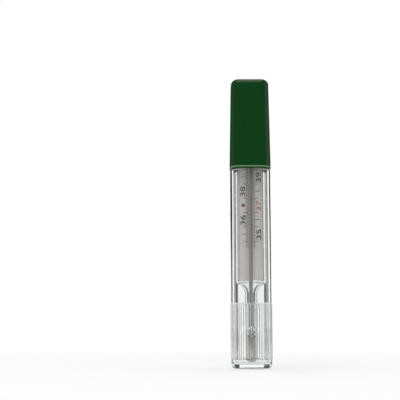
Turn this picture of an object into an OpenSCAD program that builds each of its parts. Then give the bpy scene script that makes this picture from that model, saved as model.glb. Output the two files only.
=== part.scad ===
// Glass clinical thermometer of the enclosed-scale, liquid-metal, maximum-reading kind,
// standing in its clear storage case with an opaque cap.
// Millimetres. The origin is the middle of the case's foot, +Z runs up the stem,
// and the scale faces -Y.

/* [Glass body] */
// Length of the thermometer, from the tip of the bulb to the top of the glass
glass_length = 125; // [120:1:140]
// Width of the oval glass body
body_w = 13.8; // [12.6:0.1:15.4]
// Depth of the oval glass body
body_d = 9.4; // [8.6:0.1:10.6]
// Wall of the glass body and of its stem
glass_wall = 0.7; // [0.6:0.05:1]
// Height of the fused dome that closes the top
dome_height = 5.5; // [4:0.5:8]
// Height over which the body is drawn down to the stem
shoulder_height = 5.9; // [5:0.1:7]
// Radius of the outward curve at the top of the shoulder
shoulder_r = 1.5; // [1.2:0.1:2]
// Diameter of the stem
stem_d = 5.4; // [5.2:0.1:6.4]
// Length of the stem, from its joint with the bulb to the shoulder
stem_length = 16.1; // [12:0.1:20]

/* [Bulb] */
// Length of the bulb below the stem
bulb_length = 14; // [11:0.5:17]
// Diameter of the bulb
bulb_d = 4.4; // [3.8:0.1:5]
// Wall of the bulb
bulb_wall = 0.5; // [0.4:0.05:0.7]
// Height over which the bulb widens to the stem
bulb_neck = 1.8; // [1:0.1:3]
// Solid glass between the liquid and the joint with the stem
bulb_roof = 1.2; // [0.8:0.1:2]
// Height of the funnel at the top of the liquid
bulb_funnel = 1.4; // [1:0.1:2]

/* [Maximum device] */
// Diameter of the glass pin that stands in the bulb
pin_d = 1.1; // [1:0.05:1.4]
// Diameter of the pin's drawn tip
pin_tip_d = 0.9; // [0.7:0.02:0.94]
// How far the tip reaches into the bore above the joint
pin_reach = 2; // [1:0.1:4]

/* [Capillary] */
// Outer diameter of the capillary
capillary_d = 1.9; // [1.8:0.05:2.2]
// Bore of the capillary
bore_d = 1.1; // [1.04:0.02:1.2]
// Diameter of the foot that is fused to the bulb
capillary_foot_d = 3; // [2.6:0.1:3.1]
// Height of the straight part of that foot
capillary_foot = 0.8; // [0.4:0.1:1.5]
// Height over which the foot narrows to the capillary
capillary_flare = 2; // [1:0.1:3]
// Diameter of the fused knot
knot_d = 2.8; // [2.4:0.1:3]
// Height of the fused knot
knot_height = 2.4; // [1.6:0.1:3]
// Distance of the knot's middle above the foot of the shoulder
knot_rise = 1.6; // [1:0.1:2.4]
// Diameter of the safety chamber at the top of the bore
chamber_d = 1.4; // [1.3:0.05:1.5]
// Length of the safety chamber
chamber_length = 4; // [3:0.5:6]
// Bore between the highest mark and the safety chamber
bore_spare = 3; // [1:0.5:5]
// Solid glass above the safety chamber
capillary_roof = 1.5; // [1.2:0.1:3]

/* [Scale] */
// Thickness of the scale plate
plate_t = 0.6; // [0.4:0.05:0.8]
// Cut across the upper corners of the scale plate
plate_cut = 1.5; // [0.5:0.1:3]
// Gap between the scale plate and the glass
plate_gap = 0.12; // [0.05:0.01:0.3]
// How far the plate's lower edge reaches down into the shoulder
plate_drop = 0.3; // [0:0.05:0.4]
// Gap between the scale plate and the capillary in front of it
capillary_gap = 0.05; // [0.02:0.01:0.2]
// Height of the lowest mark above the lower edge of the plate
low_mark = 21.2; // [18:0.1:24]
// Distance from one degree to the next
degree_pitch = 6.5; // [5.5:0.1:6.8]
// Reading of the lowest mark in degrees
low_reading = 35; // [34:1:36]
// Reading of the highest mark in degrees
high_reading = 42; // [41:1:42]
// Reading in degrees that the thread stands at
reading = 42; // [37:0.1:42]
// Radius of the cement dabs along the lower edge of the plate
dab_r = 0.55; // [0.4:0.05:0.7]
// Distance from one cement dab to the next
dab_pitch = 0.8; // [0.5:0.05:1]

/* [Case] */
// Gap between the glass body and the inside of the case
case_clearance = 0.8; // [0.4:0.05:0.9]
// Wall of the case
case_wall = 1.2; // [1.1:0.05:1.6]
// Floor of the case
case_floor = 2; // [1.5:0.1:3]
// Gap between the floor and the tip of the bulb
seat_gap = 0.3; // [0.1:0.05:0.6]
// Outer corner radius of the case
case_corner = 4.4; // [4:0.1:5.2]
// Rounding of the outer edge of the foot
foot_r = 2; // [1:0.1:2.6]
// Rounding of the inner edge of the floor
floor_r = 1.5; // [0.5:0.1:2]
// Height of the ledge that the cap's rim meets
case_height = 87.8; // [80:0.1:96]
// Rounding of the outer edge of that ledge
ledge_round = 0.4; // [0.1:0.05:0.45]
// Length of the spigot that the cap slips over
spigot_length = 10.5; // [6:0.5:14]
// How far the spigot is set in from the face of the case
spigot_step = 0.65; // [0.5:0.05:0.7]
// Chamfer at the mouth of the spigot
spigot_chamfer = 0.25; // [0.1:0.05:0.3]
// Distance from one grip rib to the next
rib_pitch = 1; // [0.9:0.05:1.6]
// Height of a grip rib above the face of the case
rib_height = 0.2; // [0.1:0.05:0.4]
// Width of the groove between two ribs, at their flat backs
rib_groove = 0.44; // [0.3:0.02:0.6]
// Width of the groove at the face of the case
rib_floor = 0.06; // [0.02:0.02:0.2]
// Lower end of the grip ribs
rib_low = 4; // [3:0.5:8]
// Upper end of the grip ribs
rib_high = 28.5; // [20:0.5:40]

/* [Cap] */
// Gap between the spigot and the cap's socket
cap_clearance = 0.15; // [0.08:0.01:0.25]
// Wall of the cap at its socket
cap_wall = 0.8; // [0.7:0.05:1.2]
// Slope of the cap's outer face in degrees
cap_draft = 1; // [0.4:0.1:1.4]
// Thickness of the cap's top
cap_top = 1.8; // [1.2:0.1:3]
// Rounding of the cap's top edge
cap_round = 2.4; // [1:0.1:2.6]
// Rounding of the outer edge of the cap's rim
rim_round = 0.65; // [0.2:0.05:0.65]
// Gap between the cap's rim and the ledge of the case
rim_gap = 0.3; // [0.1:0.05:0.5]
// Gap between the top of the spigot and the end of the socket
socket_gap = 0.5; // [0.3:0.1:1]
// Gap around the glass body in the upper part of the cap
head_clearance = 0.5; // [0.3:0.05:0.8]
// Gap between the top of the glass and the cap's ceiling
head_gap = 0.5; // [0.3:0.05:0.9]
// Rounding of the inner edge of the cap's ceiling
ceiling_r = 1; // [0.5:0.1:2]

/* [Hidden] */

// Sides of the turned pieces and of the oval glass, and steps of each rounded corner and edge
turned_sides = 48;
oval_sides = 48;
corner_steps = 8;
round_steps = 5;
curve_steps = 6;
// Overlap of solids that are fused, and of a cutter past what it cuts
fuse = 0.3;
// Film between the liquid metal and the glass
film = 0.04;

// Heights, from the foot of the case up
tip_z = case_floor + seat_gap;
joint_z = tip_z + bulb_length;
shoulder_z = joint_z + stem_length;
body_z = shoulder_z + shoulder_height;
top_z = tip_z + glass_length;
dome_z = top_z - dome_height;
mouth_z = case_height + spigot_length;
rim_z = case_height + rim_gap;
socket_z = mouth_z + socket_gap;
ceiling_z = top_z + head_gap;
cap_top_z = ceiling_z + cap_top;

// Shoulder: an outward and an inward arc that meet at one slope
shoulder_drop = (body_w - stem_d) / 2;
shoulder_turn = 2 * atan(shoulder_drop / shoulder_height);
hollow_r = shoulder_height / sin(shoulder_turn) - shoulder_r;
// Angle at which the dome's rings stop short of its middle
dome_turn = 86;

// Scale plate, behind the capillary and as wide as the oval lets it be
plate_y = capillary_d / 2 + capillary_gap;
plate_depth_share = (plate_y + plate_t) / (body_d / 2 - glass_wall);
plate_w = (body_w - 2 * glass_wall) * sqrt(1 - pow(plate_depth_share, 2)) - 2 * plate_gap;
plate_z = body_z + plate_gap - plate_drop;
plate_h = dome_z - plate_gap - plate_z;
low_mark_z = plate_z + low_mark;
high_mark_z = low_mark_z + (high_reading - low_reading) * degree_pitch;
reading_z = low_mark_z + (reading - low_reading) * degree_pitch;
chamber_z = high_mark_z + bore_spare;
capillary_top_z = chamber_z + chamber_length + capillary_roof;
thread_z = joint_z + pin_reach + film;

// Case outline, and how far the other faces lie outside (+) or inside (-) it
case_w = body_w + 2 * (case_clearance + case_wall);
case_d = body_d + 2 * (case_clearance + case_wall);
socket_grow = cap_clearance - spigot_step;
cap_grow = socket_grow + cap_wall;
pocket_grow = head_clearance - case_clearance - case_wall;

// Ring of a rounded rectangle that lies grow outside the face of the case, at height z
function shell_ring(grow, z) =
    let (radius = case_corner + grow)
    let (x = case_w / 2 - case_corner)
    let (y = case_d / 2 - case_corner)
    [
        for (corner = [0:3])
            for (step = [0:corner_steps])
                let (angle = 90 * (corner + step / corner_steps))
                let (side_x = corner == 0 || corner == 3 ? 1 : -1)
                let (side_y = corner < 2 ? 1 : -1)
                [side_x * x + radius * cos(angle), side_y * y + radius * sin(angle), z]
    ];

// Ring of an oval of width w and depth d, at height z
function oval_ring(w, d, z) = [
    for (side = [0:oval_sides - 1])
        let (angle = 360 * side / oval_sides)
        [w / 2 * cos(angle), d / 2 * sin(angle), z]
];

// Solid through a list of rings with equally many points, flat at its first and last ring
module loft(rings) {
    sides = len(rings[0]);
    last = len(rings) - 1;
    walls = [
        for (level = [0:last - 1])
            for (side = [0:sides - 1])
                let (a = level * sides + side)
                let (b = level * sides + (side + 1) % sides)
                each [[a, a + sides, b], [b, a + sides, b + sides]]
    ];
    first_face = [for (side = [0:sides - 1]) side];
    last_face = [for (side = [sides - 1:-1:0]) last * sides + side];
    polyhedron([for (ring = rings) each ring], concat([first_face, last_face], walls));
}

// Solid of revolution about the stem's axis, from an outline of radius and height
module turned(outline) {
    rotate_extrude($fn = turned_sides) polygon(outline);
}

// Shoulder of the face that lies depth inside the outer one, from the stem up:
// share of the way from stem to body, and height above the foot of the shoulder
function shoulder_curve(depth) = concat(
    [
        for (step = [0:curve_steps])
            let (angle = shoulder_turn * step / curve_steps)
            let (radius = hollow_r + depth)
            [radius * (1 - cos(angle)) / shoulder_drop, radius * sin(angle)]
    ],
    [
        for (step = [curve_steps - 1:-1:0])
            let (angle = shoulder_turn * step / curve_steps)
            let (radius = shoulder_r - depth)
            [1 - radius * (1 - cos(angle)) / shoulder_drop, shoulder_height - radius * sin(angle)]
    ]
);

// Rings of the glass face that lies depth inside the outer one, from the joint up to the dome
function glass_rings(depth) =
    let (stem = stem_d - 2 * depth)
    let (width = body_w - 2 * depth)
    let (thick = body_d - 2 * depth)
    let (height = dome_height - depth)
    concat(
        [oval_ring(stem, stem, joint_z)],
        [
            for (point = shoulder_curve(depth))
                let (share = point[0])
                oval_ring(
                    stem + (width - stem) * share,
                    stem + (thick - stem) * share,
                    shoulder_z + point[1]
                )
        ],
        [
            for (step = [0:curve_steps])
                let (angle = dome_turn * step / curve_steps)
                oval_ring(width * cos(angle), thick * cos(angle), dome_z + height * sin(angle))
        ]
    );

// The same list from its last item to its first
function reversed(list) = [for (i = [len(list) - 1:-1:0]) list[i]];

// Blown glass body: oval tube with a fused dome, drawn down to the stem
module glass_envelope() {
    color("lightcyan", 0.4) loft(concat(reversed(glass_rings(glass_wall)), glass_rings(0)));
}

// Outline of the bulb's hollow, drawn in by inset, from its lowest point up to the bore
function bulb_hollow(inset) =
    let (radius = bulb_d / 2 - bulb_wall - inset)
    let (middle_z = tip_z + bulb_d / 2)
    let (roof_z = joint_z - bulb_roof)
    concat(
        [
            for (step = [0:curve_steps])
                let (angle = 90 * step / curve_steps)
                [radius * sin(angle), middle_z - radius * cos(angle)]
        ],
        [[radius, roof_z - bulb_funnel], [bore_d / 2 - inset, roof_z]]
    );

// Bulb: thin shell with a round tip, thick where it is fused to the stem
module bulb_glass() {
    radius = bulb_d / 2;
    tip = [
        for (step = [0:curve_steps])
            let (angle = 90 * step / curve_steps)
            [radius * sin(angle), tip_z + radius * (1 - cos(angle))]
    ];
    neck = [
        for (step = [0:curve_steps])
            let (share = (1 - cos(180 * step / curve_steps)) / 2)
            [
                radius + (stem_d / 2 - radius) * share,
                joint_z - bulb_neck + bulb_neck * step / curve_steps
            ]
    ];
    color("lightcyan", 0.4) turned(
        concat(tip, neck, [[bore_d / 2, joint_z]], reversed(bulb_hollow(0)))
    );
}

// Liquid metal in the bulb, around the pin
module gallium_fill() {
    pin_side = pin_d / 2 + film;
    color("silver") difference() {
        turned(concat(bulb_hollow(film), [[0, joint_z - bulb_roof]]));
        translate([0, 0, tip_z]) cylinder(h = bulb_length, r = pin_side, $fn = turned_sides);
    }
}

// Glass pin of the maximum device: it stands on the bulb's floor and narrows the bore's mouth
module constriction_pin() {
    inside_r = bulb_d / 2 - bulb_wall;
    seat_drop = sqrt(pow(inside_r, 2) - pow(pin_d / 2, 2));
    foot_z = tip_z + bulb_d / 2 - seat_drop + film;
    funnel_z = joint_z - bulb_roof - bulb_funnel;
    color("lightcyan") turned([
        [0, foot_z],
        [pin_d / 2, foot_z],
        [pin_d / 2, funnel_z],
        [pin_tip_d / 2, joint_z - bulb_roof],
        [pin_tip_d / 2, joint_z + pin_reach],
        [0, joint_z + pin_reach]
    ]);
}

// Capillary: fused foot, knot, straight tube and round top, with its bore and safety chamber
module capillary_tube() {
    radius = capillary_d / 2;
    bore = bore_d / 2;
    narrow_z = joint_z + capillary_foot + capillary_flare;
    knot = [
        for (step = [0:curve_steps])
            let (bulge = sin(180 * step / curve_steps))
            [
                radius + (knot_d / 2 - radius) * bulge,
                shoulder_z + knot_rise + knot_height * (step / curve_steps - 0.5)
            ]
    ];
    top = [
        for (step = [0:curve_steps])
            let (angle = 90 * step / curve_steps)
            [radius * cos(angle), capillary_top_z - radius * (1 - sin(angle))]
    ];
    chamber = [
        for (step = [0:curve_steps])
            let (share = step / curve_steps)
            [
                bore * share + (chamber_d / 2 - bore / 2) * sin(180 * share),
                chamber_z + chamber_length * (1 - share)
            ]
    ];
    color("azure", 0.5) turned(
        concat(
            [
                [bore, joint_z],
                [capillary_foot_d / 2, joint_z],
                [capillary_foot_d / 2, joint_z + capillary_foot],
                [radius, narrow_z]
            ],
            knot,
            top,
            chamber
        )
    );
}

// Thread of liquid metal in the bore, from the pin up to the reading
module gallium_thread() {
    radius = bore_d / 2 - film;
    color("dimgray") translate([0, 0, thread_z])
        cylinder(h = reading_z - thread_z, r = radius, $fn = turned_sides);
}

// Scale plate: its lower edge stands in the shoulder and the dome closes over it
module scale_plate() {
    half = plate_w / 2;
    color("gainsboro") translate([0, plate_y + plate_t, plate_z]) rotate([90, 0, 0])
        linear_extrude(plate_t) polygon([
            [-half, 0],
            [half, 0],
            [half, plate_h - plate_cut],
            [half - plate_cut, plate_h],
            [plate_cut - half, plate_h],
            [-half, plate_h - plate_cut]
        ]);
}

// Dabs of cement along the right half of the plate's lower edge
module plate_cement() {
    first_x = capillary_d / 2 + dab_r;
    last_x = plate_w / 2 - dab_r;
    gaps = ceil((last_x - first_x) / dab_pitch);
    color("white") difference() {
        for (dab = [0:gaps])
            translate([first_x + (last_x - first_x) * dab / gaps, plate_y, plate_z + dab_r])
                sphere(r = dab_r, $fn = turned_sides);
        translate([0, plate_y, plate_z - fuse]) cube([plate_w, dab_r + fuse, 2 * (dab_r + fuse)]);
    }
}

// Point on the face of the case at a distance along its outline, moved out by rise
function outline_point(along, rise) =
    let (straight_y = case_d - 2 * case_corner)
    let (straight_x = case_w - 2 * case_corner)
    let (arc = PI * case_corner / 2)
    let (radius = case_corner + rise)
    let (past_y = along - straight_y)
    let (past_corner = past_y - arc)
    let (past_x = past_corner - straight_x)
    along < straight_y ? [case_w / 2 + rise, along - straight_y / 2] :
    past_y < arc ?
        let (angle = 90 * past_y / arc)
        [straight_x / 2 + radius * cos(angle), straight_y / 2 + radius * sin(angle)] :
    past_corner < straight_x ? [straight_x / 2 - past_corner, case_d / 2 + rise] :
        let (angle = 90 + 90 * past_x / arc)
        [radius * cos(angle) - straight_x / 2, straight_y / 2 + radius * sin(angle)];

// Band of grip ribs around the lower part of the case
module grip_ribs() {
    half_outline = case_w + case_d - (4 - PI) * case_corner;
    ribs = round(half_outline / rib_pitch);
    pitch = half_outline / ribs;
    // Profile of one rib: distance along the outline, and height
    rib_profile = [
        [rib_floor / 2, 0],
        [rib_groove / 2, rib_height],
        [pitch - rib_groove / 2, rib_height],
        [pitch - rib_floor / 2, 0]
    ];
    half_ring = [
        for (rib = [0:ribs - 1])
            for (point = rib_profile)
                outline_point(rib * pitch + point[0], point[1])
    ];
    other_half = [for (point = half_ring) -point];
    core = [for (point = shell_ring(-fuse, 0)) [point[0], point[1]]];
    translate([0, 0, rib_low]) linear_extrude(rib_high - rib_low) difference() {
        polygon(concat(half_ring, other_half));
        polygon(core);
    }
}

// Clear case: rounded foot, straight walls, rounded ledge, and a spigot for the cap
module case_tube() {
    foot = [
        for (step = [0:round_steps])
            let (angle = 90 * step / round_steps)
            shell_ring(-foot_r * (1 - sin(angle)), foot_r * (1 - cos(angle)))
    ];
    ledge = [
        for (step = [0:round_steps])
            let (angle = 90 * step / round_steps)
            shell_ring(-ledge_round * (1 - cos(angle)), case_height - ledge_round * (1 - sin(angle)))
    ];
    mouth = [
        shell_ring(-spigot_step, case_height),
        shell_ring(-spigot_step, mouth_z - spigot_chamfer),
        shell_ring(-spigot_step - spigot_chamfer, mouth_z),
        shell_ring(-case_wall, mouth_z)
    ];
    inside = [
        for (step = [0:round_steps])
            let (angle = 90 * step / round_steps)
            shell_ring(
                -case_wall - floor_r * (1 - cos(angle)),
                case_floor + floor_r * (1 - sin(angle))
            )
    ];
    color("aliceblue", 0.35) union() {
        loft(concat(foot, ledge, mouth, inside));
        grip_ribs();
    }
}

// How far the cap's outer face has drawn in at height z
function draft_in(z) = (z - rim_z) * tan(cap_draft);

// Cap: drafted outside with a rounded rim, socket and straight pocket inside
module cap() {
    ceiling = [
        for (step = [0:round_steps])
            let (angle = 90 * step / round_steps)
            shell_ring(
                pocket_grow - ceiling_r * (1 - sin(angle)),
                ceiling_z - ceiling_r * (1 - cos(angle))
            )
    ];
    socket = [
        shell_ring(pocket_grow, socket_z),
        shell_ring(socket_grow, socket_z),
        shell_ring(socket_grow, rim_z)
    ];
    rim = [
        for (step = [0:round_steps])
            let (angle = 90 * step / round_steps)
            shell_ring(cap_grow - rim_round * (1 - sin(angle)), rim_z + rim_round * (1 - cos(angle)))
    ];
    crown_z = cap_top_z - cap_round;
    crown = [
        for (step = [0:round_steps])
            let (angle = 90 * step / round_steps)
            shell_ring(
                cap_grow - draft_in(crown_z) - cap_round * (1 - cos(angle)),
                crown_z + cap_round * sin(angle)
            )
    ];
    color("darkgreen") loft(concat(ceiling, socket, rim, crown));
}

case_tube();
cap();
glass_envelope();
bulb_glass();
capillary_tube();
scale_plate();
plate_cement();
constriction_pin();
gallium_fill();
gallium_thread();
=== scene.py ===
"""Glass clinical thermometer in its clear case with a green cap, dressed around its solids."""
import math
import random

import bpy
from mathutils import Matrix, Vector


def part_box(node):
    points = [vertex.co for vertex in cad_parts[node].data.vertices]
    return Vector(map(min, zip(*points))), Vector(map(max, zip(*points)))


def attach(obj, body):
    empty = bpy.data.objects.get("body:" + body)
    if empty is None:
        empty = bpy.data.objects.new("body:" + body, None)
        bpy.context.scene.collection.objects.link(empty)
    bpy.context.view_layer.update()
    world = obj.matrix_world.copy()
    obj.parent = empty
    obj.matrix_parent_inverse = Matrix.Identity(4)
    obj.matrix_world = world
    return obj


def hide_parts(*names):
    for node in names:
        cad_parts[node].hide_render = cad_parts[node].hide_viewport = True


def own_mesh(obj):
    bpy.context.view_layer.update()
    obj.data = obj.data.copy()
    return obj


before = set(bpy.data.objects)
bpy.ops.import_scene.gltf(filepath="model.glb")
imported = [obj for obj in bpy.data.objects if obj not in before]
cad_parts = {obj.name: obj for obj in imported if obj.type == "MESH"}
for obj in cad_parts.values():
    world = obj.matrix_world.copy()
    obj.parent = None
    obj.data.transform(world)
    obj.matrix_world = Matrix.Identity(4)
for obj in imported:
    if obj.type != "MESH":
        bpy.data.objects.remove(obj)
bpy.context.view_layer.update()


# Sizes in metres. The frame gives the outer ones, and the rest follow the solids.
def corners(node):
    """Lowest and highest corner of a CAD node."""
    low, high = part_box(node)
    return Vector(low), Vector(high)


ENVELOPE_LOW, ENVELOPE_HIGH = corners("glass_envelope")
BULB_LOW, BULB_HIGH = corners("bulb_glass")
CAPILLARY_HIGH = corners("capillary_tube")[1]
PLATE_LOW = corners("scale_plate")[0]
CEMENT_LOW, CEMENT_HIGH = corners("plate_cement")
FILL_HIGH = corners("gallium_fill")[1]
THREAD_LOW, THREAD_HIGH = corners("gallium_thread")
CASE_HIGH = corners("case_tube")[1]
CAP_LOW, CAP_HIGH = corners("cap")

# Glass body. The dome turns in by DOME_TURN degrees and closes flat over the rest.
BODY_A = ENVELOPE_HIGH.x
BODY_B = ENVELOPE_HIGH.y
JOINT_Z = ENVELOPE_LOW.z
GLASS_TOP = ENVELOPE_HIGH.z
GLASS_WALL = 0.0007
DOME_HEIGHT = 0.0055
DOME_TURN = 89.5
SHOULDER_HEIGHT = 0.0059
SHOULDER_R = 0.0015
PLATE_GAP = 0.00012
PLATE_DROP = 0.0003
SHOULDER_TOP = PLATE_LOW.z - PLATE_GAP + PLATE_DROP
SHOULDER_FOOT = SHOULDER_TOP - SHOULDER_HEIGHT
STEM_R = BULB_HIGH.x

# Bulb. The liquid wets the glass, so its face lies just inside the glass.
TIP_Z = BULB_LOW.z
BULB_R = 0.0022
BULB_WALL = 0.0005
BULB_NECK = 0.0018
BULB_ROOF = 0.0012
BULB_FUNNEL = 0.0014
WETTED = 0.000003
PIN_R = 0.00055
PIN_FILM = 0.00004

# Capillary
CAPILLARY_R = 0.00095
BORE_R = 0.00055
FOOT_R = CAPILLARY_HIGH.x
FOOT_HEIGHT = 0.0008
FOOT_FLARE = 0.002
KNOT_R = 0.0014
KNOT_HEIGHT = 0.0024
KNOT_RISE = 0.0016
CHAMBER_R = 0.0007
CHAMBER_LENGTH = 0.004
CAPILLARY_ROOF = 0.0015

# Cement crumbs. Each level is a share of the crumb's height and of its width.
CRUMBS = 18
CRUMB_SIDES = 7
CRUMB_LEVELS = ((0.0, 1.0), (0.4, 1.0), (0.75, 0.7), (1.0, 0.25))
CRUMB_LEAST = 0.00016
CRUMB_GROWTH = 0.0003
CRUMB_FALL = 1.6
CRUMB_TWIST = 0.3
SIZE_SPREAD = (0.75, 1.15)
EDGE_SPREAD = (0.7, 1.2)
CRUMB_SEED = 7

# Scale print. Reaches are measured from the middle of the plate.
PLATE_FACE = PLATE_LOW.y
LOW_MARK_RISE = 0.0212
LOW_MARK = PLATE_LOW.z + LOW_MARK_RISE
DEGREE = 0.0065
FIRST_DEGREE = 34
LOW_DEGREE = 35
NORMAL_DEGREE = 37
LAST_DEGREE = 42
INK = 0.00002
PRINT_SHIFT = 0.0002
TICK_INNER = 0.0009
TICK_FINE = 0.0021
TICK_HALF = 0.0034
TICK_DEGREE = 0.0041
TICK_NORMAL = 0.0045
TICK_LINE = 0.00027
NUMBER_X = 0.0035
NUMBER_HEIGHT = 0.0023
NUMBER_LENGTH = 0.0047
NUMBER_DROP = 0.0002
NUMBER_BOLD = 0.00008
TYPE_SIZE = 1.35 * NUMBER_HEIGHT
DIAMOND_X = -0.00305
DIAMOND_HALF_W = 0.00092
DIAMOND_HALF_H = 0.00105
DIAMOND_INK = 1.6 * INK

# Case. Shares are parts of the pitch from one groove between the ribs to the next.
RIB_HEIGHT = 0.0002
RIB_PITCH = 0.001
RIB_GROOVE = 0.00044
RIB_LOW = 0.004
RIB_HIGH = 0.0285
RIB_FADE = 0.0009
CASE_CORNER = 0.0044
CASE_HALF_W = CASE_HIGH.x - RIB_HEIGHT
CASE_HALF_D = CASE_HIGH.y - RIB_HEIGHT
CASE_WALL = 0.0012
CASE_FLOOR = 0.002
CASE_LEDGE = 0.0878
LEDGE_ROUND = 0.0004
CASE_MOUTH = CASE_HIGH.z
CASE_FOOT_R = 0.002
CASE_FLOOR_R = 0.0015
CASE_EDGE = 0.00018
SPIGOT_STEP = 0.00065
CASE_BEND = math.pi * CASE_CORNER / 2
HALF_OUTLINE = 2 * (CASE_HALF_W + CASE_HALF_D - 2 * CASE_CORNER + CASE_BEND)
RIBS = round(HALF_OUTLINE / RIB_PITCH)
BACK_SHARE = RIB_GROOVE / 2 * RIBS / HALF_OUTLINE
CASE_SHARES = (0.0, BACK_SHARE, 0.36, 0.5, 0.64, 1 - BACK_SHARE)

# Cap
CAP_SHARES = (0.0, 0.25, 0.5, 0.75)
CAP_CLEARANCE = 0.00015
CAP_WALL = 0.0008
CAP_DRAFT = math.radians(1)
CAP_RIM = CAP_LOW.z
CAP_TOP = CAP_HIGH.z
CAP_ROOF = 0.0018
CAP_ROUND = 0.0024
CAP_EDGE = 0.00015
RIM_ROUND = 0.00065
RIM_FACE = CAP_RIM + 1.5 * RIM_ROUND
# Painted highlight along the cap's rim: its height above the rim and the half width of the pale band.
RIM_HIGHLIGHT_RISE = 0.00095
RIM_HIGHLIGHT_HALF = 0.00025
SOCKET_ROOM = 0.0005
SOCKET_TOP = CASE_MOUTH + SOCKET_ROOM
POCKET_IN = 0.0015
CEILING_R = 0.001

# Studio. The floor turns from lit to plain white between two distances from the object, and the dim
# cards on it grow stronger between two others. Edges of cards are shares of a wave of the turn about Z,
# and the backdrop's edge is given as sines of the height above the horizon.
FLOOR_HALF = 6.0
FLOOR_SHADE = 0.8
LIT_TO = 0.03
WHITE_FROM = 0.4
CARDS_SPAN = 4.0
CARDS_SOFT_TO = 0.4
CARDS_STRONG_FROM = 1.6
CARDS_TURN = math.radians(86.7)
CARD_DIRECTIONS = 4.0
CARD_OUTER_EDGE = (0.393, 0.427)
CARD_INNER_EDGE = (0.945, 0.965)
SOFT_CARD = 0.5
STRONG_CARD = 0.03
SOFT_LIGHT = 0.65
DIM_ROOM = 0.08
BACKDROP_EDGE = (0.05, 0.13)
LAMP_TARGET = Vector((0, 0, 0.07))
LAMPS = (
    {"name": "side_right", "place": (0.6, 0.0, 0.3), "size": (0.5, 0.6), "power": 0.5},
    {"name": "side_left", "place": (-0.6, 0.1, 0.3), "size": (0.5, 0.6), "power": 0.2},
    {"name": "front", "place": (-0.3, -0.6, 1.0), "size": (1.0, 0.6), "power": 4.4},
    {"name": "top", "place": (0.0, 0.1, 0.9), "size": (0.5, 0.5), "power": 2.5},
)
LIGHT_BOUNCES = 24

# View: width of the image in pixels, and a pixel's size at the object
FRAME_PX = 400
PIXEL = 0.00045
SENSOR = 36.0
VIEW_DISTANCE = 0.4
VIEW_TILT = math.radians(8.5)
VIEW_HEIGHT = 0.0747
VIEW_SIDE = 0.0226
CLIP_START = 0.01


# Mesh building
def added(name, data):
    """A new object in the scene."""
    item = bpy.data.objects.new(name, data)
    bpy.context.scene.collection.objects.link(item)
    return item


def smoothed(name, points, faces, sharp=35):
    """A mesh object with smooth faces and edges that stay sharp above an angle in degrees."""
    mesh = bpy.data.meshes.new(name)
    mesh.from_pydata(points, [], faces)
    mesh.shade_smooth()
    mesh.set_sharp_from_angle(angle=math.radians(sharp))
    return added(name, mesh)


def lets_light_in(piece):
    """Lets lamps and soft light reach what lies behind a piece."""
    piece.visible_shadow = False
    piece.visible_diffuse = False


def dressed(piece, material, body, slot, *nodes):
    """Gives a piece its material and body, and hides the CAD nodes that it stands for. The slot is not
    used.
    """
    piece.data.materials.append(material)
    if material == GLASS:
        lets_light_in(piece)
    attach(piece, body)
    if nodes:
        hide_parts(*nodes)
    return piece


def stacked_faces(base, sides, levels):
    """Faces of a closed solid through stacked rings of points that start at a base, flat at both ends."""
    faces = [tuple(reversed(range(base, base + sides)))]
    for level in range(levels - 1):
        here = base + level * sides
        for side in range(sides):
            after = (side + 1) % sides
            faces.append((here + side, here + after, here + sides + after, here + sides + side))
    last = base + (levels - 1) * sides
    faces.append(tuple(range(last, last + sides)))
    return faces


def lofted(name, rings, sharp=35):
    """A closed solid through rings with equally many points, flat at its first and last ring."""
    points = [point for ring in rings for point in ring]
    return smoothed(name, points, stacked_faces(0, len(rings[0]), len(rings)), sharp)


def turned(name, outline, sides=64):
    """A solid of revolution about Z from a closed outline of (radius, height), material on its left."""
    points = []
    rows = []
    for radius, z in outline:
        count = sides if radius > 0 else 1
        rows.append(range(len(points), len(points) + count))
        for side in range(count):
            angle = 2 * math.pi * side / sides
            points.append((radius * math.cos(angle), radius * math.sin(angle), z))
    faces = []
    for index, row in enumerate(rows):
        above = rows[(index + 1) % len(rows)]
        if len(row) == 1 and len(above) == 1:
            continue
        for side in range(sides):
            after = (side + 1) % sides
            if len(row) == 1:
                faces.append((row[0], above[after], above[side]))
            elif len(above) == 1:
                faces.append((row[side], row[after], above[0]))
            else:
                faces.append((row[side], row[after], above[after], above[side]))
    return smoothed(name, points, faces)


def arc(start, end, steps):
    """Angles in radians from start to end in degrees, ends included."""
    return [math.radians(start + (end - start) * step / steps) for step in range(steps + 1)]


def quarter(radius, steps):
    """Pairs of distances from the two sides that a rounded edge joins, along its quarter circle."""
    return [(radius * (1 - math.sin(angle)), radius * (1 - math.cos(angle))) for angle in arc(0, 90, steps)]


# Nodes of materials and light
def shader(name):
    """A new material, its node tree and its Principled node."""
    material = bpy.data.materials.new(name)
    material.use_nodes = True
    tree = material.node_tree
    return material, tree, tree.nodes["Principled BSDF"]


def coordinates(tree, kind):
    """A place on the surface or in the surroundings, whole and split into X, Y and Z."""
    place = tree.nodes.new("ShaderNodeTexCoord").outputs[kind]
    split = tree.nodes.new("ShaderNodeSeparateXYZ")
    tree.links.new(place, split.inputs["Vector"])
    return place, split.outputs


def noise(tree, scale, detail, stretch=(1, 1, 1)):
    """Output of a noise texture in object space, in grains per metre."""
    place = tree.nodes.new("ShaderNodeTexCoord")
    mapping = tree.nodes.new("ShaderNodeMapping")
    mapping.inputs["Scale"].default_value = stretch
    texture = tree.nodes.new("ShaderNodeTexNoise")
    texture.inputs["Scale"].default_value = scale
    texture.inputs["Detail"].default_value = detail
    tree.links.new(place.outputs["Object"], mapping.inputs["Vector"])
    tree.links.new(mapping.outputs["Vector"], texture.inputs["Vector"])
    return texture.outputs["Fac"]


def opaque_colour(shade):
    """A grey number or a colour, with full cover."""
    return (*shade, 1) if isinstance(shade, tuple) else (shade, shade, shade, 1)


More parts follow.
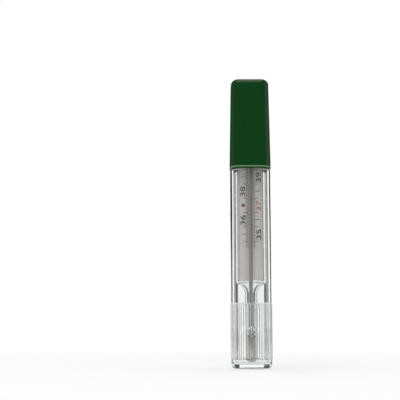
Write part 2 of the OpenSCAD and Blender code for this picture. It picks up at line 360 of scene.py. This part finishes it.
def ramp(tree, value, low, high, start=0.35, end=0.65):
    """A value spread from low to high, as numbers or colours, where the input goes from start to end."""
    node = tree.nodes.new("ShaderNodeValToRGB")
    node.color_ramp.elements[0].position = start
    node.color_ramp.elements[1].position = end
    for element, shade in zip(node.color_ramp.elements, (low, high)):
        element.color = opaque_colour(shade)
    tree.links.new(value, node.inputs["Fac"])
    return node.outputs["Color"]


def calculated(tree, operation, *values):
    """Output of a Math node whose inputs are numbers or links."""
    node = tree.nodes.new("ShaderNodeMath")
    node.operation = operation
    for socket, value in zip(node.inputs, values):
        if isinstance(value, float):
            socket.default_value = value
        else:
            tree.links.new(value, socket)
    return node.outputs["Value"]


def mixed(tree, share, low, high):
    """Colour that goes from low to high with a share, where each is a number, a colour or a link."""
    node = tree.nodes.new("ShaderNodeMix")
    node.data_type = "RGBA"
    tree.links.new(share, node.inputs["Factor"])
    for name, shade in (("A", low), ("B", high)):
        if isinstance(shade, (float, tuple)):
            node.inputs[name].default_value = opaque_colour(shade)
        else:
            tree.links.new(shade, node.inputs[name])
    return node.outputs["Result"]


def mixes_shaders(tree, share, first, second):
    """Sends a mix of two shaders to the material's output."""
    mix = tree.nodes.new("ShaderNodeMixShader")
    tree.links.new(share, mix.inputs["Fac"])
    tree.links.new(first, mix.inputs[1])
    tree.links.new(second, mix.inputs[2])
    tree.links.new(mix.outputs["Shader"], tree.nodes["Material Output"].inputs["Surface"])


def bumped(tree, principled, value, height):
    """Bump of a given height in metres on the Principled node."""
    bump = tree.nodes.new("ShaderNodeBump")
    bump.inputs["Distance"].default_value = height
    bump.inputs["Strength"].default_value = 1.0
    tree.links.new(value, bump.inputs["Height"])
    tree.links.new(bump.outputs["Normal"], principled.inputs["Normal"])


# Kinds of surface. Gloss and bump are finer than the mottle of the colour.
GLOSS_FINENESS = 2.5
BUMP_FINENESS = 4


def clear_material(name, tint, ior, rough, wave_scale, wave_height):
    """Clear glass or plastic with faint waves and slightly uneven gloss."""
    material, tree, principled = shader(name)
    principled.inputs["Base Color"].default_value = (*tint, 1)
    principled.inputs["Transmission Weight"].default_value = 1.0
    principled.inputs["IOR"].default_value = ior
    gloss = ramp(tree, noise(tree, scale=900, detail=6), *rough)
    tree.links.new(gloss, principled.inputs["Roughness"])
    waves = noise(tree, wave_scale, detail=2, stretch=(1, 1, 0.25))
    bumped(tree, principled, waves, wave_height)
    return material


def opaque_material(name, shades, rough, scale, bump_height, metal=0.0, stretch=(1, 1, 1)):
    """An opaque surface whose colour and gloss vary a little, with a fine bump."""
    material, tree, principled = shader(name)
    mottle = noise(tree, scale, detail=5, stretch=stretch)
    tree.links.new(ramp(tree, mottle, *shades), principled.inputs["Base Color"])
    gloss = ramp(tree, noise(tree, scale * GLOSS_FINENESS, detail=6), *rough)
    tree.links.new(gloss, principled.inputs["Roughness"])
    principled.inputs["Metallic"].default_value = metal
    bumped(tree, principled, noise(tree, scale * BUMP_FINENESS, detail=6, stretch=stretch), bump_height)
    return material


def printing_ink(name, shades):
    """Matt ink with a fine uneven face."""
    return opaque_material(name, shades, rough=(0.4, 0.6), scale=1500, bump_height=0.000002)


def dims_light(material, tint):
    """Lets lamp light and soft light pass straight through, dimmed at each face, for a light shadow."""
    tree = material.node_tree
    path = tree.nodes.new("ShaderNodeLightPath").outputs
    lit = calculated(tree, "MAXIMUM", path["Is Shadow Ray"], path["Is Diffuse Ray"])
    straight = tree.nodes.new("ShaderNodeBsdfTransparent")
    straight.inputs["Color"].default_value = (*tint, 1)
    mixes_shaders(tree, lit, tree.nodes["Principled BSDF"].outputs["BSDF"], straight.outputs["BSDF"])


def dulls(material, level):
    """Sets how strongly a surface mirrors, where 0.5 is usual."""
    material.node_tree.nodes["Principled BSDF"].inputs["Specular IOR Level"].default_value = level


def lightens_rim(material, shade, middle, reach):
    """Paints a highlight line around the cap where its rim turns in, at a height and with a half width, in
    place of light caught by the rim's rounding.
    """
    tree = material.node_tree
    _, parts = coordinates(tree, "Object")
    highlight_band = calculated(tree, "COMPARE", parts["Z"], middle, reach)
    base = tree.nodes["Principled BSDF"].inputs["Base Color"]
    tree.links.new(mixed(tree, highlight_band, base.links[0].from_socket, shade), base)


# Materials
GLASS = clear_material(
    "body_glass",
    tint=(0.965, 0.975, 0.97), ior=1.52, rough=(0.0, 0.008), wave_scale=220, wave_height=0.0000007,
)
CLEAR_PLASTIC = clear_material(
    "clear_plastic",
    tint=(0.95, 0.96, 0.96), ior=1.5, rough=(0.0, 0.008), wave_scale=160, wave_height=0.000001,
)
dims_light(CLEAR_PLASTIC, tint=(0.93, 0.94, 0.94))
GREEN_PLASTIC = opaque_material(
    "green_plastic", shades=((0.0016, 0.045, 0.0058), (0.002, 0.048, 0.0066)),
    rough=(0.23, 0.27), scale=300, bump_height=0.000001,
)
dulls(GREEN_PLASTIC, 0.25)
# Painted highlight: a pale band around the cap's rim where its rounding would catch light.
lightens_rim(GREEN_PLASTIC, (0.16, 0.27, 0.17), CAP_RIM + RIM_HIGHLIGHT_RISE, RIM_HIGHLIGHT_HALF)
OPAL = opaque_material(
    "opal_plate", shades=((0.535, 0.496, 0.454), (0.574, 0.535, 0.493)),
    rough=(0.35, 0.5), scale=300, bump_height=0.000004,
)
GREY_INK = printing_ink("fine_ink", ((0.11, 0.108, 0.102), (0.15, 0.147, 0.14)))
BLACK_INK = printing_ink("scale_ink", ((0.012, 0.012, 0.013), (0.03, 0.03, 0.032)))
RED_INK = printing_ink("red_ink", ((0.46, 0.115, 0.095), (0.53, 0.15, 0.125)))
BROWN_INK = printing_ink("diamond_ink", ((0.045, 0.005, 0.003), (0.06, 0.008, 0.005)))
dulls(BROWN_INK, 0.1)
LIQUID_METAL = opaque_material(
    "liquid_metal", shades=((0.44, 0.42, 0.39), (0.52, 0.5, 0.465)),
    rough=(0.06, 0.14), scale=250, bump_height=0.000001, metal=0.95, stretch=(1, 1, 0.3),
)
THREAD_METAL = opaque_material(
    "thread_metal", shades=((0.25, 0.224, 0.237), (0.275, 0.247, 0.262)),
    rough=(0.36, 0.42), scale=250, bump_height=0.0000004, metal=0.6, stretch=(1, 1, 0.3),
)
CEMENT = opaque_material(
    "cement", shades=((0.78, 0.78, 0.76), (0.9, 0.9, 0.88)),
    rough=(0.7, 0.9), scale=1200, bump_height=0.00008,
)


# Thermometer
def oval_ring(a, b, z, sides=128):
    """Points of an oval with half axes a and b, at height z."""
    angles = [2 * math.pi * side / sides for side in range(sides)]
    return [(a * math.cos(angle), b * math.sin(angle), z) for angle in angles]


def shoulder_curve(depth, steps):
    """Shares of the way from stem to body, and heights, along two arcs that meet at one slope."""
    drop = BODY_A - STEM_R
    turn = 2 * math.degrees(math.atan(drop / SHOULDER_HEIGHT))
    hollow_r = SHOULDER_HEIGHT / math.sin(math.radians(turn)) - SHOULDER_R + depth
    round_r = SHOULDER_R - depth
    curve = [
        (hollow_r * (1 - math.cos(angle)) / drop, hollow_r * math.sin(angle))
        for angle in arc(0, turn, steps)
    ]
    curve += [
        (1 - round_r * (1 - math.cos(angle)) / drop, SHOULDER_HEIGHT - round_r * math.sin(angle))
        for angle in arc(turn, 0, steps)[1:]
    ]
    return curve


def glass_rings(depth, steps=20):
    """Rings of the glass face that lies depth inside the outer one, from the joint up to the dome."""
    stem = STEM_R - depth
    a = BODY_A - depth
    b = BODY_B - depth
    rings = [oval_ring(stem, stem, JOINT_Z)]
    for share, height in shoulder_curve(depth, steps):
        half_a = stem + (a - stem) * share
        half_b = stem + (b - stem) * share
        rings.append(oval_ring(half_a, half_b, SHOULDER_FOOT + height))
    dome_z = GLASS_TOP - DOME_HEIGHT
    for angle in arc(0, DOME_TURN, steps):
        side = math.cos(angle)
        rings.append(oval_ring(a * side, b * side, dome_z + (DOME_HEIGHT - depth) * math.sin(angle)))
    return rings


def make_envelope():
    """Blown glass body with its dome, shoulder and stem."""
    rings = list(reversed(glass_rings(GLASS_WALL))) + glass_rings(0)
    dressed(lofted("envelope_glass", rings), GLASS, "thermometer", "body_glass", "glass_envelope")


def bulb_tip(radius):
    """Outline of a round face about the middle of the bulb's tip, from its lowest point to its side."""
    middle = TIP_Z + BULB_R
    return [(radius * math.sin(angle), middle - radius * math.cos(angle)) for angle in arc(0, 90, steps=16)]


def bulb_hollow(inset):
    """Outline of the bulb's hollow, drawn in by inset, from its lowest point up to the bore."""
    radius = BULB_R - BULB_WALL - inset
    roof = JOINT_Z - BULB_ROOF
    return bulb_tip(radius) + [(radius, roof - BULB_FUNNEL), (BORE_R - inset, roof)]


def make_bulb():
    """Bulb with its round tip and the thick fused neck, and the liquid metal in it."""
    outline = bulb_tip(BULB_R)
    for angle in arc(0, 180, steps=16):
        share = (1 - math.cos(angle)) / 2
        outline.append((BULB_R + (STEM_R - BULB_R) * share, JOINT_Z - BULB_NECK * (1 - angle / math.pi)))
    outline.append((BORE_R, JOINT_Z))
    outline += reversed(bulb_hollow(0))
    dressed(turned("bulb_shell", outline), GLASS, "thermometer", "body_glass", "bulb_glass")
    pin_side = PIN_R + PIN_FILM
    liquid = [point for point in bulb_hollow(-WETTED) if point[0] > pin_side]
    liquid += [(pin_side, FILL_HIGH.z), (pin_side, liquid[0][1])]
    dressed(turned("bulb_liquid", liquid), LIQUID_METAL, "thermometer", "liquid_metal", "gallium_fill")


def make_capillary():
    """Capillary with its fused foot, knot, round top, bore and safety chamber."""
    top = CAPILLARY_HIGH.z
    outline = [(BORE_R, JOINT_Z), (FOOT_R, JOINT_Z), (FOOT_R, JOINT_Z + FOOT_HEIGHT)]
    for angle in arc(0, 180, steps=10):
        share = (1 + math.cos(angle)) / 2
        rise = FOOT_HEIGHT + FOOT_FLARE * angle / math.pi
        outline.append((CAPILLARY_R + (FOOT_R - CAPILLARY_R) * share, JOINT_Z + rise))
    knot_z = SHOULDER_FOOT + KNOT_RISE
    for angle in arc(0, 180, steps=16):
        bulge = math.sin(angle) ** 2
        rise = KNOT_HEIGHT * (angle / math.pi - 0.5)
        outline.append((CAPILLARY_R + (KNOT_R - CAPILLARY_R) * bulge, knot_z + rise))
    for angle in arc(0, 90, steps=12)[:-1]:
        outline.append((CAPILLARY_R * math.cos(angle), top - CAPILLARY_R * (1 - math.sin(angle))))
    outline.append((0, top))
    chamber = top - CAPILLARY_ROOF - CHAMBER_LENGTH
    for angle in arc(0, 180, steps=16):
        share = angle / math.pi
        radius = BORE_R * share + (CHAMBER_R - BORE_R / 2) * math.sin(angle)
        outline.append((radius, chamber + CHAMBER_LENGTH * (1 - share)))
    piece = turned("capillary_glass", outline, sides=48)
    dressed(piece, GLASS, "thermometer", "body_glass", "capillary_tube")


def make_thread():
    """Thread of liquid metal with a round top, which shortens towards the pin as it falls."""
    radius = BORE_R + WETTED
    outline = [(0, THREAD_LOW.z), (radius, THREAD_LOW.z)]
    for angle in arc(0, 90, steps=8)[:-1]:
        outline.append((radius * math.cos(angle), THREAD_HIGH.z - radius * (1 - math.sin(angle))))
    outline.append((0, THREAD_HIGH.z))
    piece = turned("metal_thread", outline, sides=32)
    dressed(piece, THREAD_METAL, "thermometer", "liquid_metal", "gallium_thread")
    lets_light_in(piece)
    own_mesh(piece)


def make_cement():
    """Jagged crumbs of cement along the right half of the plate's lower edge, largest at the capillary."""
    dice = random.Random(CRUMB_SEED)
    points = []
    faces = []
    for crumb in range(CRUMBS):
        share = crumb / (CRUMBS - 1)
        radius = (CRUMB_LEAST + CRUMB_GROWTH * (1 - share) ** CRUMB_FALL) * dice.uniform(*SIZE_SPREAD)
        x = CEMENT_LOW.x + radius + (CEMENT_HIGH.x - CEMENT_LOW.x - 2 * radius) * share
        z = CEMENT_LOW.z + radius * dice.uniform(*EDGE_SPREAD)
        faces += stacked_faces(len(points), CRUMB_SIDES, len(CRUMB_LEVELS))
        for out, wide in CRUMB_LEVELS:
            y = PLATE_FACE - radius * out
            for side in range(CRUMB_SIDES):
                angle = 2 * math.pi * (side + crumb * CRUMB_TWIST) / CRUMB_SIDES
                reach = radius * wide * dice.uniform(*EDGE_SPREAD)
                points.append((x + reach * math.cos(angle), y, z + reach * math.sin(angle)))
    crumbs = smoothed("cement_crumbs", points, faces, sharp=15)
    dressed(crumbs, CEMENT, "thermometer", "cement", "plate_cement")


# Scale print
SPOT_FACES = ((0, 1, 2, 3), (7, 6, 5, 4), (0, 4, 5, 1), (1, 5, 6, 2), (2, 6, 7, 3), (3, 7, 4, 0))


def degree_z(degree):
    """Height of a mark on the plate."""
    return LOW_MARK + (degree - LOW_DEGREE) * DEGREE


def print_spot(points, faces, outline, thickness):
    """Adds a spot of ink that lies on the plate, from its four corners in width and height."""
    base = len(points)
    for y in (PLATE_FACE - thickness, PLATE_FACE):
        points += [(x, y, z) for x, z in outline]
    faces += [tuple(base + corner for corner in face) for face in SPOT_FACES]


def make_ticks():
    """Marks for each tenth, half and whole degree on both sides of the capillary."""
    grey = ([], [])
    black = ([], [])
    red = ([], [])
    for tenth in range(1, (LAST_DEGREE - FIRST_DEGREE) * 10 + 1):
        degree = FIRST_DEGREE + tenth / 10
        low = degree_z(degree) - TICK_LINE / 2
        high = degree_z(degree) + TICK_LINE / 2
        whole = tenth % 10 == 0
        half = tenth % 5 == 0
        even = round(degree) % 2 == 0
        for side in (-1, 1):
            numbered = whole and (side == -1) == even
            reach = TICK_FINE
            ink = grey
            if degree == NORMAL_DEGREE:
                reach = TICK_FINE if numbered else TICK_NORMAL
                ink = red
            elif whole and not numbered:
                reach = TICK_DEGREE
                ink = black
            elif half and not whole:
                reach = TICK_HALF
                ink = black
            left, right = sorted((side * TICK_INNER, side * reach + PRINT_SHIFT))
            print_spot(*ink, [(left, low), (right, low), (right, high), (left, high)], INK)
    for name, (points, faces), material in (
        ("fine_ticks", grey, GREY_INK),
        ("long_ticks", black, BLACK_INK),
        ("normal_tick", red, RED_INK),
    ):
        dressed(smoothed(name, points, faces), material, "thermometer", "opal_plate")


def number_mesh(name, text):
    """Mesh of a number in plain type, about its middle and as thick as the ink."""
    font = bpy.data.curves.new(name, "FONT")
    font.body = text
    font.align_x = "CENTER"
    font.align_y = "CENTER"
    font.size = TYPE_SIZE
    font.extrude = INK / 2
    font.offset = NUMBER_BOLD
    font.resolution_u = 4
    holder = bpy.data.objects.new(f"{name}_text", font)
    mesh = bpy.data.meshes.new_from_object(holder)
    bpy.data.objects.remove(holder)
    mesh.name = name
    mesh.materials.clear()
    return mesh


def make_numbers():
    """Degree numbers that read upwards, even ones left and odd ones right of the capillary."""
    for degree in range(LOW_DEGREE, LAST_DEGREE + 1):
        name = f"degree_{degree}"
        mesh = number_mesh(name, str(degree))
        xs = [vertex.co.x for vertex in mesh.vertices]
        ys = [vertex.co.y for vertex in mesh.vertices]
        stretch_x = NUMBER_LENGTH / (max(xs) - min(xs))
        stretch_y = NUMBER_HEIGHT / (max(ys) - min(ys))
        mid_x = (max(xs) + min(xs)) / 2
        mid_y = (max(ys) + min(ys)) / 2
        side = -1 if degree % 2 == 0 else 1
        place_x = PRINT_SHIFT + side * NUMBER_X
        place_z = degree_z(degree) - NUMBER_DROP
        for vertex in mesh.vertices:
            along = (vertex.co.x - mid_x) * stretch_x
            up = (vertex.co.y - mid_y) * stretch_y
            out = vertex.co.z + INK / 2
            vertex.co = (place_x - up, PLATE_FACE - out, place_z + along)
        ink = RED_INK if degree == NORMAL_DEGREE else BLACK_INK
        dressed(added(name, mesh), ink, "thermometer", "opal_plate")


def make_diamond():
    """Diamond beside the capillary that points out the normal temperature."""
    z = degree_z(NORMAL_DEGREE)
    left = DIAMOND_X - DIAMOND_HALF_W
    right = DIAMOND_X + DIAMOND_HALF_W
    outline = [(left, z), (DIAMOND_X, z - DIAMOND_HALF_H), (right, z), (DIAMOND_X, z + DIAMOND_HALF_H)]
    points = []
    faces = []
    print_spot(points, faces, outline, DIAMOND_INK)
    dressed(smoothed("normal_diamond", points, faces), BROWN_INK, "thermometer", "opal_plate")


# Case and cap
def outline_samples(shares):
    """Points and outward directions along the face of the case, at shares of each rib pitch."""
    straight_x = 2 * (CASE_HALF_W - CASE_CORNER)
    straight_y = 2 * (CASE_HALF_D - CASE_CORNER)
    samples = []
    for rib in range(RIBS):
        for share in shares:
            along = (rib + share) * HALF_OUTLINE / RIBS
            if along < straight_y:
                middle = Vector((straight_x / 2, along - straight_y / 2))
                turn = 0.0
            elif along < straight_y + CASE_BEND:
                middle = Vector((straight_x / 2, straight_y / 2))
                turn = (along - straight_y) / CASE_CORNER
            elif along < straight_y + CASE_BEND + straight_x:
                middle = Vector((straight_x / 2 - (along - straight_y - CASE_BEND), straight_y / 2))
                turn = math.pi / 2
            else:
                middle = Vector((-straight_x / 2, straight_y / 2))
                turn = math.pi / 2 + (along - straight_y - CASE_BEND - straight_x) / CASE_CORNER
            out = Vector((math.cos(turn), math.sin(turn)))
            samples.append((middle + out * CASE_CORNER, out, share))
    return samples + [(-point, -out, share) for point, out, share in samples]


def rib_rise(share):
    """Height of the rib at a share of the pitch, from 0 in the groove to 1 on its flat back."""
    return min(1.0, min(share, 1 - share) / BACK_SHARE)


def make_case():
    """Clear case with its rounded foot, grip ribs, ledge and spigot."""
    samples = outline_samples(CASE_SHARES)

    def ring(grow, z, rib=0.0):
        places = [
            point + out * (grow + rib * RIB_HEIGHT * rib_rise(share)) for point, out, share in samples
        ]
        return [(place.x, place.y, z) for place in places]

    below_mouth = CASE_MOUTH - 2 * CASE_EDGE
    swell = [(RIB_FADE * (1 - math.cos(angle)), math.sin(angle)) for angle in arc(0, 90, steps=5)]
    rings = [ring(-inset, rise) for inset, rise in quarter(CASE_FOOT_R, steps=10)]
    rings += [ring(0, RIB_LOW - CASE_EDGE)]
    rings += [ring(0, RIB_LOW + rise, rib) for rise, rib in swell]
    rings += [ring(0, RIB_HIGH - drop, rib) for drop, rib in reversed(swell)]
    rings += [ring(0, RIB_HIGH + CASE_EDGE), ring(0, CASE_LEDGE - LEDGE_ROUND - CASE_EDGE)]
    rings += [ring(-inset, CASE_LEDGE - drop) for drop, inset in quarter(LEDGE_ROUND, steps=8)]
    rings += [ring(-SPIGOT_STEP, CASE_LEDGE), ring(-SPIGOT_STEP, below_mouth)]
    rings += [ring(-SPIGOT_STEP - inset, CASE_MOUTH - drop) for drop, inset in quarter(CASE_EDGE, steps=4)]
    rings += [ring(-CASE_WALL + outset, CASE_MOUTH - drop) for outset, drop in quarter(CASE_EDGE, steps=4)]
    rings += [ring(-CASE_WALL, below_mouth), ring(-CASE_WALL, CASE_FLOOR + CASE_FLOOR_R + CASE_EDGE)]
    rings += [ring(-CASE_WALL - inset, CASE_FLOOR + rise) for rise, inset in quarter(CASE_FLOOR_R, steps=8)]
    dressed(lofted("case_shell", rings, sharp=40), CLEAR_PLASTIC, "case", "clear_plastic", "case_tube")


def make_cap():
    """Green cap with its drafted outside, rounded rim, socket and pocket."""
    samples = outline_samples(CAP_SHARES)
    socket = CAP_CLEARANCE - SPIGOT_STEP
    face = socket + CAP_WALL
    ceiling = CAP_TOP - CAP_ROOF
    crown = CAP_TOP - CAP_ROUND

    def ring(grow, z):
        places = [point + out * grow for point, out, _ in samples]
        return [(place.x, place.y, z) for place in places]

    def drafted(z):
        return face - (z - CAP_RIM) * math.tan(CAP_DRAFT)

    rings = [ring(-POCKET_IN - inset, ceiling - drop) for inset, drop in quarter(CEILING_R, steps=6)]
    rings += [ring(-POCKET_IN, SOCKET_TOP), ring(socket, SOCKET_TOP)]
    rings += [ring(socket + outset, CAP_RIM + rise) for rise, outset in quarter(CAP_EDGE, steps=4)]
    rings += [ring(face - inset, CAP_RIM + rise) for inset, rise in quarter(RIM_ROUND, steps=6)]
    rings += [ring(drafted(z), z) for z in (RIM_FACE, crown - RIM_ROUND)]
    rings += [
        ring(drafted(crown) - CAP_ROUND * (1 - math.cos(angle)), crown + CAP_ROUND * math.sin(angle))
        for angle in arc(0, 90, steps=14)
    ]
    dressed(lofted("cap_shell", rings, sharp=40), GREEN_PLASTIC, "cap", "green_plastic", "cap")


def dress_nodes():
    """Materials of the CAD nodes that stay."""
    for node, material in (("scale_plate", OPAL), ("constriction_pin", GLASS)):
        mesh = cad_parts[node].data
        mesh.materials.clear()
        mesh.materials.append(material)
    lets_light_in(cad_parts["constriction_pin"])


# Studio
def card_light(tree, parts, dim):
    """White all round, with a dim card on each side of four directions a quarter turn apart."""
    turn = calculated(tree, "SUBTRACT", calculated(tree, "ARCTAN2", parts["Y"], parts["X"]), CARDS_TURN)
    wave = calculated(tree, "COSINE", calculated(tree, "MULTIPLY", turn, CARD_DIRECTIONS))
    share = calculated(tree, "MULTIPLY_ADD", wave, 0.5, 0.5)
    outside = ramp(tree, share, 1.0, dim, *CARD_OUTER_EDGE)
    between = ramp(tree, share, dim, 1.0, *CARD_INNER_EDGE)
    return calculated(tree, "MAXIMUM", outside, between)


def floor_material():
    """Pale floor that is plain white to the camera, gloss and glass, apart from the object's shadow."""
    material, tree, principled = shader("floor_white")
    tree.nodes.remove(principled)
    diffuse = tree.nodes.new("ShaderNodeBsdfDiffuse")
    diffuse.inputs["Color"].default_value = opaque_colour(FLOOR_SHADE)
    glow = tree.nodes.new("ShaderNodeEmission")
    glow.inputs["Strength"].default_value = 1.0
    place, parts = coordinates(tree, "Object")
    length = tree.nodes.new("ShaderNodeVectorMath")
    length.operation = "LENGTH"
    tree.links.new(place, length.inputs[0])
    distance = length.outputs["Value"]
    span = calculated(tree, "MULTIPLY", distance, 1 / CARDS_SPAN)
    distant = ramp(tree, span, 0.0, 1.0, CARDS_SOFT_TO / CARDS_SPAN, CARDS_STRONG_FROM / CARDS_SPAN)
    cards = mixed(tree, distant, card_light(tree, parts, SOFT_CARD), card_light(tree, parts, STRONG_CARD))
    path = tree.nodes.new("ShaderNodeLightPath").outputs
    tree.links.new(mixed(tree, path["Is Transmission Ray"], 1.0, cards), glow.inputs["Color"])
    mirrored = calculated(tree, "MAXIMUM", path["Is Glossy Ray"], path["Is Transmission Ray"])
    seen = calculated(tree, "MAXIMUM", path["Is Camera Ray"], mirrored)
    share = calculated(tree, "MULTIPLY", ramp(tree, distance, 0.0, 1.0, LIT_TO, WHITE_FROM), seen)
    mixes_shaders(tree, share, diffuse.outputs["BSDF"], glow.outputs["Emission"])
    return material


def make_floor():
    """Plain pale floor that keeps the object's shadow."""
    half = FLOOR_HALF
    square = [(-half, -half, 0), (half, -half, 0), (half, half, 0), (-half, half, 0)]
    mesh = bpy.data.meshes.new("floor")
    mesh.from_pydata(square, [], [(0, 1, 2, 3)])
    mesh.materials.append(floor_material())
    added("floor", mesh)


def make_world():
    """White to the camera; glass sees white with dim cards, and gloss a white backdrop below a dim room."""
    world = bpy.data.worlds.new("studio")
    bpy.context.scene.world = world
    world.use_nodes = True
    tree = world.node_tree
    background = tree.nodes["Background"]
    _, parts = coordinates(tree, "Generated")
    path = tree.nodes.new("ShaderNodeLightPath").outputs
    room = ramp(tree, parts["Z"], 1.0, DIM_ROOM, *BACKDROP_EDGE)
    light = mixed(tree, path["Is Glossy Ray"], SOFT_LIGHT, room)
    light = mixed(tree, path["Is Transmission Ray"], light, card_light(tree, parts, STRONG_CARD))
    light = mixed(tree, path["Is Camera Ray"], light, 1.0)
    tree.links.new(light, background.inputs["Color"])
    background.inputs["Strength"].default_value = 1.0


def make_lamp(name, place, size, power):
    """Soft rectangular lamp that faces the object, with its power in watts."""
    data = bpy.data.lights.new(name, "AREA")
    data.shape = "RECTANGLE"
    data.size, data.size_y = size
    data.energy = power
    lamp = added(name, data)
    lamp.location = place
    lamp.rotation_euler = (LAMP_TARGET - Vector(place)).to_track_quat("-Z", "Y").to_euler()


def make_camera():
    """Camera low in front and to the left, tilted up as in the photograph."""
    data = bpy.data.cameras.new("camera")
    data.sensor_width = SENSOR
    data.lens = SENSOR * (VIEW_DISTANCE / PIXEL) / FRAME_PX
    data.clip_start = CLIP_START
    camera = added("camera", data)
    camera.location = (
        -VIEW_SIDE,
        -VIEW_DISTANCE * math.cos(VIEW_TILT),
        VIEW_HEIGHT - VIEW_DISTANCE * math.sin(VIEW_TILT),
    )
    camera.rotation_euler = (math.pi / 2 + VIEW_TILT, 0, 0)
    bpy.context.scene.camera = camera


make_envelope()
make_bulb()
make_capillary()
make_thread()
make_cement()
make_ticks()
make_numbers()
make_diamond()
make_case()
make_cap()
dress_nodes()
make_floor()
make_world()
for lamp_row in LAMPS:
    make_lamp(**lamp_row)
make_camera()

scene = bpy.context.scene
scene.view_settings.view_transform = "Standard"
scene.cycles.max_bounces = LIGHT_BOUNCES
scene.cycles.transmission_bounces = LIGHT_BOUNCES
scene.cycles.transparent_max_bounces = LIGHT_BOUNCES
